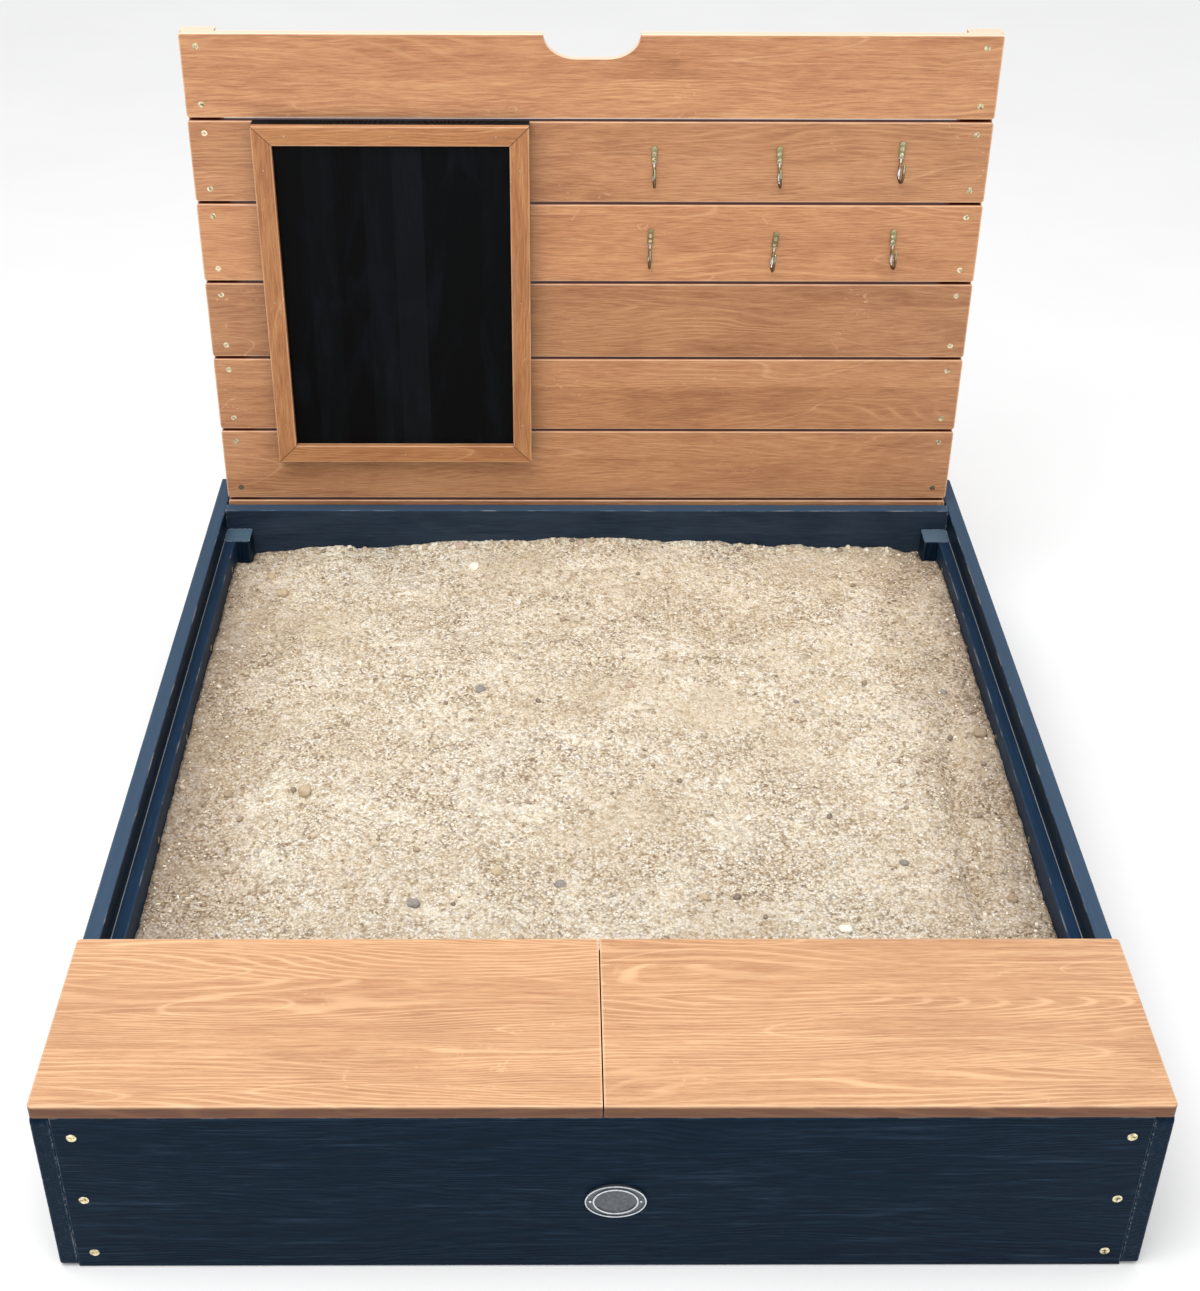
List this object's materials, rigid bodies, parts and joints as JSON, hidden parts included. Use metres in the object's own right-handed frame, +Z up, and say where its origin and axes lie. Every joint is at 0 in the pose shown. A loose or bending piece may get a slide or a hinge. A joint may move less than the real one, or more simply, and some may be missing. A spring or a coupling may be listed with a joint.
{
  "type": "sandbox with cover",
  "caption": "Wooden sandbox whose slatted cover stands in a rear slot as a play wall with chalkboard and hooks, with a bench over a storage box",
  "frame": {"origin": "on the ground, under the middle of the bounding box, with the cover standing in its slot", "axes": "+Z up, -Y to the front with the bench and the badge, +X to the right seen from the front"},
  "size_m": [1.06, 1.229, 0.872],
  "materials": {
    "stained_pine": "satin",
    "painted_pine": "satin",
    "chalkboard_black": "matte",
    "yellow_zinc": "satin",
    "steel": "satin",
    "hook_brass": "gloss",
    "badge_metal": "satin",
    "sand": "matte",
    "ground_cloth": "matte"
  },
  "bodies": {
    "box": {"back_board": "painted_pine", "back_board_screws": "yellow_zinc", "badge": "badge_metal", "badge_pins": "badge_metal", "corner_post_back_left": "painted_pine", "corner_post_back_right": "painted_pine", "corner_post_front_left": "painted_pine", "corner_post_front_right": "painted_pine", "cover_ledge_left": "painted_pine", "cover_ledge_right": "painted_pine", "divider_hinge_leaves": "steel", "divider_hinge_screws": "steel", "front_board": "painted_pine", "front_board_screws": "yellow_zinc", "ground_sheet": "ground_cloth", "ledge_screws": "yellow_zinc", "lid_hinge_pins": "steel", "sand_fill": "sand", "side_board_left": "painted_pine", "side_board_right": "painted_pine", "side_board_screws": "yellow_zinc", "slot_board": "painted_pine", "storage_divider": "painted_pine", "storage_floor": "painted_pine"},
    "seat_lid_left": {"lid_cleat_left_inner": "stained_pine", "lid_cleat_left_outer": "stained_pine", "lid_cleat_screws_left": "steel", "lid_hinge_leaves_left": "steel", "lid_hinge_screws_left": "steel", "seat_lid_left": "stained_pine"},
    "seat_lid_right": {"lid_cleat_right_inner": "stained_pine", "lid_cleat_right_outer": "stained_pine", "lid_cleat_screws_right": "steel", "lid_hinge_leaves_right": "steel", "lid_hinge_screws_right": "steel", "seat_lid_right": "stained_pine"},
    "cover": {"chalkboard_frame_bottom": "stained_pine", "chalkboard_frame_left": "stained_pine", "chalkboard_frame_right": "stained_pine", "chalkboard_frame_top": "stained_pine", "chalkboard_panel": "chalkboard_black", "cover_batten_left": "stained_pine", "cover_batten_right": "stained_pine", "cover_screws": "yellow_zinc", "cover_slat_1": "stained_pine", "cover_slat_2": "stained_pine", "cover_slat_3": "stained_pine", "cover_slat_4": "stained_pine", "cover_slat_5": "stained_pine", "cover_slat_6": "stained_pine", "cover_slat_7": "stained_pine", "cover_slat_8": "stained_pine", "frame_brads": "steel", "hook_lower_1": "hook_brass", "hook_lower_2": "hook_brass", "hook_lower_3": "hook_brass", "hook_screws": "yellow_zinc", "hook_upper_1": "hook_brass", "hook_upper_2": "hook_brass", "hook_upper_3": "hook_brass"}
  },
  "joints": [
    {"name": "lid_left_hinge", "type": "hinge", "parent": "box", "child": "seat_lid_left", "pos_m": [-0.265, -0.3825, 0.21], "axis": [-1, 0, 0], "range_deg": [0, 97]},
    {"name": "lid_right_hinge", "type": "hinge", "parent": "box", "child": "seat_lid_right", "pos_m": [0.265, -0.3825, 0.21], "axis": [-1, 0, 0], "range_deg": [0, 97]},
    {"name": "cover_lift", "type": "slide", "parent": "box", "child": "cover", "axis": [0, 0, 1], "range_m": [0, 0.22]}
  ]
}
